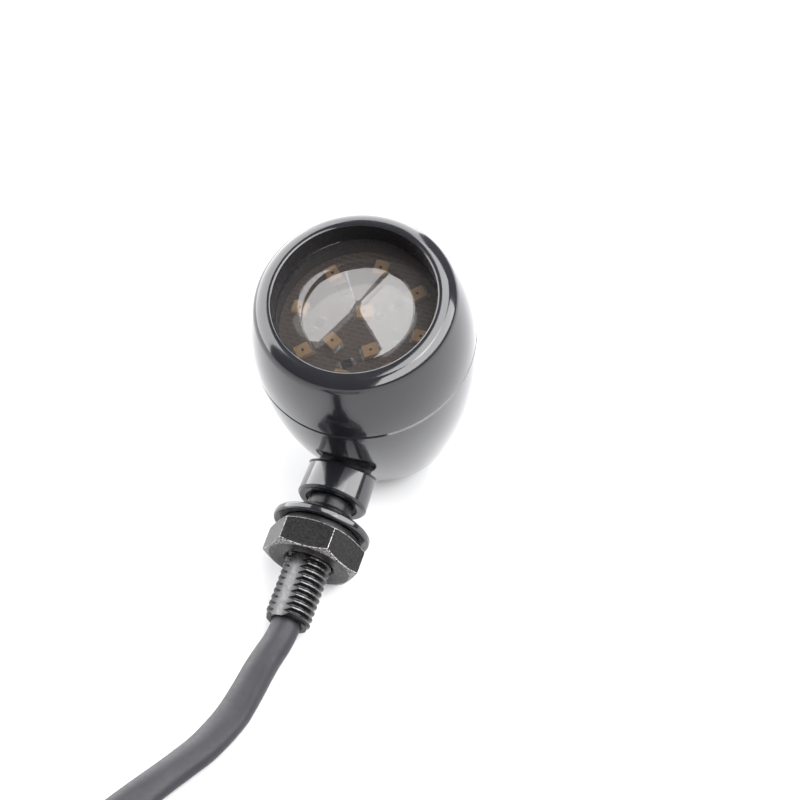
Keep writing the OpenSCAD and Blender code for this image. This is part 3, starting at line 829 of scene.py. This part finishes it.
def add_nut(finishes):
    """Columns follow the rounded corners, and rows the curved edge of the end chamfers.

    half lists the radius, height and wear of each row, from the bore's middle to the middle of the faces.
    """
    corner = NUT_AF / math.sqrt(3)
    face_r = NUT_AF / 2 - 0.3
    centre = (NUT_AF / 2 - NUT_EDGE) / math.cos(math.pi / 6)
    reach = math.atan2(NUT_EDGE * 0.5, centre + NUT_EDGE * math.cos(math.pi / 6))
    near = [-reach, -reach / 2, 0, reach / 2, reach]
    spread = np.linspace(reach, math.pi / 3 - reach, 26)[1:-1]
    angles = np.array([math.pi / 3 * k + a for k in range(6) for a in near + list(spread)])
    off = (angles + math.pi / 6) % (math.pi / 3) - math.pi / 6
    flat = NUT_AF / 2 / np.cos(math.pi / 6 - np.abs(off))
    rounding = centre * np.cos(off) + np.sqrt(np.maximum(NUT_EDGE ** 2 - (centre * np.sin(off)) ** 2, 0))
    hexagon = np.where(np.abs(off) <= reach, rounding, flat)
    drop = NUT_CHAMFER * (hexagon - face_r) / (corner - face_r)

    ones = np.ones(len(angles))
    edge = 0.09
    half = [
        (ones * NUT_BORE, ones * NUT_T / 2, 0),
        (ones * NUT_BORE, ones * 0.75, 0),
        (ones * (NUT_BORE + 0.65), ones * 0.05, 0.35),
        (ones * (NUT_BORE + 0.8), ones * 0, 0.1),
        (ones * (face_r - 2 * edge), ones * 0, 0.05),
        (ones * face_r, ones * 0.02, 0.4),
        (hexagon - edge, drop * 0.93, 0.45),
        (hexagon - edge * 0.3, drop + edge * 0.2, 0.9),
        (hexagon, drop + edge, 0.6),
        (hexagon, drop + edge + 0.07, 0.0),
        (hexagon, drop + 0.45, 0.0),
    ]
    corner_wear = np.where(np.abs(off) <= reach * 0.51, 0.6, 0.0)
    r, z, wear_and_glint = [], [], []
    for radius, height, worn_and_glinting in half:
        r.append(radius)
        z.append(height)
        wear_and_glint.append(np.maximum(worn_and_glinting, corner_wear) if radius is hexagon else ones * worn_and_glinting)
    r += r[::-1]
    z += [NUT_T - h for h in z[::-1]]
    wear_and_glint += wear_and_glint[::-1]
    r, z = np.array(r), np.array(z)
    rows = np.stack([r * np.cos(angles), r * np.sin(angles), z + NUT_D], axis=2)
    nut = Shape().grid(rows, STEM, ring=True, wear_and_glint=np.array(wear_and_glint))
    nut.build("hex_nut", "nut", "black_oxide", [finishes["black_oxide"]], ["mounting_nut"], sharp=28)


# ---------------------------------------------------------------- cord

CORD_R = 3.2
CORD_ROUTE = [
    (0, -26.2, 8.8), (0, -31.8, 6.75), (0, -37.5, 4.7), (0, -39.5, 4.05),
    (-0.3, -42.5, 3.45), (-0.8, -46, 3.25), (-1.2, -50.5, 3.2), (-1.4, -57, 3.2),
    (-2, -65, 3.2), (-4, -73, 3.2), (-6.6, -79, 3.2), (-9.2, -84.5, 3.2),
    (-12, -90.5, 3.2), (-15.2, -97.5, 3.2), (-18.5, -104.5, 3.2), (-22, -112, 3.2),
    (-25.9, -119.7, 3.2),
]
COIL_CENTRE = (9, -136)
COIL_START = 155  # degrees
COIL_R = 38.5
COIL_TURNS = 1.2
COIL_STEP = 2 * CORD_R + 0.2
LIVE_ROUTE = [
    (-11.9, -158.4, 4.3), (-8.5, -160, 3.9), (-4.7, -160.1, 3.3), (-1, -159.4, 2.2),
    (2.7, -158.8, 1.2), (6.1, -157.5, 1), (8.9, -154.8, 1.1), (10.4, -151.4, 1.9),
    (10.4, -147.8, 2.5), (10.1, -145.8, 2.6),
]
GROUND_ROUTE = [
    (-11.9, -158.4, 2.1), (-9.2, -159.6, 1.7), (-6.2, -159.7, 1.2), (-3.4, -158.6, 1),
    (-1.3, -156.5, 1), (-0.1, -153.8, 1.6), (-0.1, -151, 2.4), (-0.4, -149, 2.6),
]
WIRE_R = 0.9


def spline(points, per_span=8):
    """A smooth curve through the points."""
    p = np.array(points, float)
    p = np.vstack([2 * p[0] - p[1], p, 2 * p[-1] - p[-2]])
    out = []
    for i in range(1, len(p) - 2):
        a, b, c, d = p[i - 1], p[i], p[i + 1], p[i + 2]
        for k in range(per_span):
            t = k / per_span
            bend, swing = 2 * a - 5 * b + 4 * c - d, 3 * b - a - 3 * c + d
            out.append(0.5 * (2 * b + (c - a) * t + bend * t ** 2 + swing * t ** 3))
    return np.array(out + [p[-2]])


def coil_points():
    """A flat spiral on the floor, one cord inside the other."""
    out = []
    steps = int(COIL_TURNS * 72)
    for i in range(1, steps + 1):
        turned = COIL_TURNS * i / steps
        angle = math.radians(COIL_START + 360 * turned)
        radius = COIL_R - COIL_STEP * turned
        x, y = COIL_CENTRE
        out.append((x + radius * math.cos(angle), y + radius * math.sin(angle), CORD_R))
    return np.array(out)


def along(path):
    """Distance of each point from the path's start."""
    return np.concatenate([[0], np.cumsum(np.linalg.norm(np.diff(path, axis=0), axis=1))])


def sections(path, ring):
    """Rings of points round the path; ring(i) gives the offsets to the side and up at its i-th point."""
    heading = np.gradient(path, axis=0)
    heading /= np.linalg.norm(heading, axis=1)[:, None]
    side = np.cross(heading, (0, 0, 1))
    side /= np.linalg.norm(side, axis=1)[:, None]
    up = np.cross(side, heading)
    return [[path[i] + a * side[i] + b * up[i] for a, b in ring(i)] for i in range(len(path))]


def bell(s, centre, width):
    """A smooth hump of height 1."""
    return np.exp(-((s - centre) / width) ** 2)


# Distances along the sleeve where it flattens, twists and is dented, and by how much it flattens.
SOFT_FROM = 16
SOFT_GROWS = 22
SOFT_UNTIL = 112
SOFT_FADES = 14
SOFT_WIDER = 0.5
SOFT_LOWER = 0.45
LAID_BELOW = 4.2  # only what lies on the floor sinks as it flattens
TWIST_AT = 66
DENT_AT = 70


def add_cord(finishes):
    """The soft sleeve flattens a little after it leaves the stud, and is round again in the coil."""
    path = np.vstack([spline(CORD_ROUTE), coil_points()])
    s = along(path)
    flat = np.clip((s - SOFT_FROM) / SOFT_GROWS, 0, 1) * np.clip((SOFT_UNTIL - s) / SOFT_FADES, 0, 1)
    half_w = CORD_R + SOFT_WIDER * flat
    half_h = CORD_R - SOFT_LOWER * flat
    path[:, 2] -= (CORD_R - half_h) * (path[:, 2] < LAID_BELOW)
    twist = np.radians(10 * np.sin(s / 13.0) + 14 * bell(s, TWIST_AT, 9)) * flat

    def ring(i):
        out = []
        for t in circle(32):
            wave = 0.018 * math.sin(3 * t + s[i] / 6.5) + 0.012 * math.sin(2 * t - s[i] / 4.1)
            ripple = 1 + flat[i] * wave
            dent = 0.10 * flat[i] * bell(s[i], DENT_AT, 7) * math.exp(-((t - 1.9) / 0.5) ** 2)
            a = half_w[i] * math.cos(t) * (ripple - dent)
            b = half_h[i] * math.sin(t) * (ripple - dent)
            c, n = math.cos(twist[i]), math.sin(twist[i])
            out.append((a * c - b * n, max(a * n + b * c, -half_h[i])))
        return out

    rows = sections(path, ring)
    centre = path[-1]
    mouth = [[centre + (np.array(p) - centre) * k for p in rows[-1]] for k in (0.97, 0.80, 0.76)]
    step = path[-1] - path[-2]
    step /= np.linalg.norm(step)
    inner = [[np.array(p) - step * 4 for p in mouth[-1]]]
    sleeve = Shape().grid(rows + mouth + inner, WORLD)
    nodes = ["cable_sleeve", "cable_coil"]
    piece = sleeve.build("sleeve_tube", "stem", "sleeve", [finishes["sleeve"]], nodes, sharp=50)
    return piece, path * MM


def add_wire(name, route, slot, finishes, node):
    path = spline(route)

    def ring(_):
        return [(WIRE_R * math.cos(t), WIRE_R * math.sin(t)) for t in circle(16)]

    wire = Shape().grid(sections(path, ring), WORLD)
    return wire.build(name, "stem", slot, [finishes[slot]], [node])


def tail_frame(route):
    """A frame at the end of a wire, with Z running on in the wire's direction."""
    end, before = Vector(route[-1]), Vector(route[-2])
    heading = math.degrees(math.atan2(end.y - before.y, end.x - before.x))
    return WORLD @ Matrix.Translation(end) @ turn(heading + 90) @ turn(90, "X")


# The bullet terminal and its boot, measured from the wire's end.
BOOT_LEN = 13.0
BOOT_R = 2.5
BOOT_BORE = 1.52
BOOT_GROOVE_R = 2.28
BULLET_R = 2.0
BULLET_BODY_R = 1.5
BULLET_SHOULDER = 14.95
BULLET_NOSE = 19.4
CRIMP_R = 0.88


def add_terminal(name, route, finishes, nodes):
    at = tail_frame(route)
    around = circle(64)
    body = rounded([
        (0, 0, 0), (CRIMP_R, 0, 0), (CRIMP_R, 1.0, 0.05), (BULLET_BODY_R, 1.0, 0.1),
        (BULLET_BODY_R, BULLET_SHOULDER, 0), (BULLET_R - 0.15, BULLET_SHOULDER + 0.03, 0),
        (BULLET_R, BULLET_SHOULDER + 0.2, 0),
    ])
    nose = arc(0, BULLET_NOSE, BULLET_R, 0, 90, 14)
    bullet = Shape().revolve(body + nose, at, angles=around)
    brass = [finishes["terminal_brass"]]
    terminal = bullet.build(name, "stem", "terminal_brass", brass, [nodes[0]], sharp=40)
    ribs = []
    for k in range(5):
        z = 3.2 + 1.1 * k
        ribs += [(BOOT_R, z), (BOOT_R, z + 0.55), (BOOT_GROOVE_R, z + 0.6), (BOOT_GROOVE_R, z + 1.05)]
    shell = [(WIRE_R + 0.03, 0.0), (1.8, 0.0), (1.92, 0.1), (BOOT_R - 0.05, 1.95), (BOOT_R, 2.4)] + ribs
    shell += [
        (BOOT_R, 8.8), (BOOT_R, BOOT_LEN - 0.2), (BOOT_R - 0.15, BOOT_LEN), (BOOT_BORE + 0.1, BOOT_LEN),
        (BOOT_BORE, BOOT_LEN - 0.1), (BOOT_BORE, 0.98), (WIRE_R + 0.03, 0.98),
    ]
    boot = Shape().revolve(shell, at, angles=around)
    plastic = [finishes["boot_plastic"]]
    cover = boot.build(name + "_cover", "stem", "boot_plastic", plastic, [nodes[1]], sharp=40)
    return terminal, cover


# ---------------------------------------------------------------- carried-over parts

# CAD parts that are shown as they are, and their finishes.
CARRIED = {
    "swivel_boss": "dark_boss", "boss_seal": "black_rubber", "board_carrier": "carrier_plastic",
    "carrier_screws": "screw_steel", "housing_o_ring": "black_rubber", "led_board": "board",
    "solder_joints": "solder", "live_board_wire": "red_wire", "ground_board_wire": "black_wire",
    "lens_gasket": "black_rubber", "swivel_spring_washer": "spring_steel", "swivel_circlip": "spring_steel",
    "cable_seal": "black_rubber", "stem_wires": "black_wire", "mounting_washer": "washer_steel",
}


def finish_carried(finishes):
    """Gives the CAD parts that are kept as they are their materials."""
    for node, finish in CARRIED.items():
        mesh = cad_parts[node].data
        mesh.materials.clear()
        mesh.materials.append(finishes[finish])


# ---------------------------------------------------------------- studio

def softbox(name, azimuth, near, low, high, width, radiance):
    """An upright lit panel facing the part; near, low and high are its distance and its edges' heights."""
    side = math.radians(azimuth)
    away = Vector((math.sin(side), -math.cos(side), 0))
    centre = away * near + Vector((0, 0, (low + high) / 2))
    place = Matrix.Translation(centre) @ turn(azimuth) @ turn(90, "X")
    add_panel(name, place, width, high - low, radiance)


def add_panel(name, place, width, length, radiance):
    """A lit rectangle; its frame's +Z points away from the part."""
    data = bpy.data.lights.new(name, "AREA")
    data.shape = "RECTANGLE"
    data.size = width
    data.size_y = length
    data.energy = radiance * math.pi * width * length
    lamp = bpy.data.objects.new(name, data)
    lamp.matrix_world = place
    bpy.context.scene.collection.objects.link(lamp)


def add_studio():
    scene = bpy.context.scene
    world = bpy.data.worlds.new("studio")
    scene.world = world
    world.use_nodes = True
    world.node_tree.nodes["Background"].inputs["Color"].default_value = (0.8, 0.82, 0.85, 1)
    world.node_tree.nodes["Background"].inputs["Strength"].default_value = 0.4
    scene.view_settings.view_transform = "Standard"
    softbox("left_box", -101, 0.80, 0.01, 1.80, 1.14, 7.4)
    softbox("right_box", 77, 0.80, 0.22, 1.25, 1.90, 9.5)
    softbox("back_left_box", -158, 0.85, 0.01, 1.45, 0.69, 6.5)
    add_panel("top_box", move(0.430, 0.105, 1.26) @ turn(16.2), 0.90, 1.46, 9.0)
    look = Look("floor", specular_ior_level=0.2)
    look.set("Base Color", look.mix(look.noise(6, 2), (0.41, 0.41, 0.415), (0.43, 0.43, 0.435)))
    look.set("Roughness", look.span(look.noise(40), 0.3, 0.7, 0.55, 0.65))
    mesh = bpy.data.meshes.new("floor")
    rim = [(3.0 * math.cos(a), 3.0 * math.sin(a), 0) for a in np.linspace(0, 2 * math.pi, 96, False)]
    mesh.from_pydata(rim, [], [tuple(range(96))])
    mesh.materials.append(look.material)
    floor = bpy.data.objects.new("floor", mesh)
    scene.collection.objects.link(floor)


def all_finishes():
    return {
        "gloss_black": gloss_black(),
        "matt_bore": matt_bore(),
        "dark_boss": dark_boss(),
        "stud_steel": stud_steel(),
        "black_oxide": black_oxide(),
        "washer_steel": washer_steel(),
        "spring_steel": bright_steel("spring_steel", (0.45, 0.45, 0.46), 0.2, 0.4),
        "screw_steel": bright_steel("screw_steel", (0.55, 0.55, 0.56), 0.2, 0.35),
        "smoked_lens": smoked_lens(),
        "black_rubber": black_rubber(),
        "carrier_plastic": carrier_plastic(),
        "board": board_mask(),
        "led_package": led_package(),
        "led_gel": led_gel(),
        "resistor_body": dark_chip("resistor_body", (0.012, 0.011, 0.010), (0.03, 0.028, 0.025)),
        "diode_body": dark_chip("diode_body", (0.008, 0.008, 0.009), (0.02, 0.02, 0.021)),
        "solder": tinned("solder", (0.62, 0.60, 0.56)),
        "red_wire": wire_cover("red_wire", (0.30, 0.03, 0.02), (0.38, 0.05, 0.03)),
        "black_wire": wire_cover("black_wire", (0.010, 0.010, 0.011), (0.02, 0.02, 0.021)),
        "sleeve": sleeve_cover(),
        "terminal_brass": tinned("terminal_brass", (0.78, 0.55, 0.24)),
        "boot_plastic": wire_cover("boot_plastic", (0.012, 0.012, 0.013), (0.022, 0.022, 0.023)),
    }


add_camera()
finishes = all_finishes()
sleeve, sleeve_path = add_cord(finishes)
live_wire = add_wire("live_lead", LIVE_ROUTE, "red_wire", finishes, "live_tail_wire")
ground_wire = add_wire("ground_lead", GROUND_ROUTE, "black_wire", finishes, "ground_tail_wire")
live_nodes = ["live_terminal", "live_terminal_boot"]
live_end = add_terminal("live_bullet", LIVE_ROUTE, finishes, live_nodes)
ground_nodes = ["ground_terminal", "ground_terminal_boot"]
ground_end = add_terminal("ground_bullet", GROUND_ROUTE, finishes, ground_nodes)
add_housing(finishes)
add_bezel(finishes)
add_lens(finishes)
add_leds(finishes)
add_small_parts(finishes)
add_collar(finishes)
add_flange(finishes)
add_stud(finishes)
add_nut(finishes)
finish_carried(finishes)
add_studio()
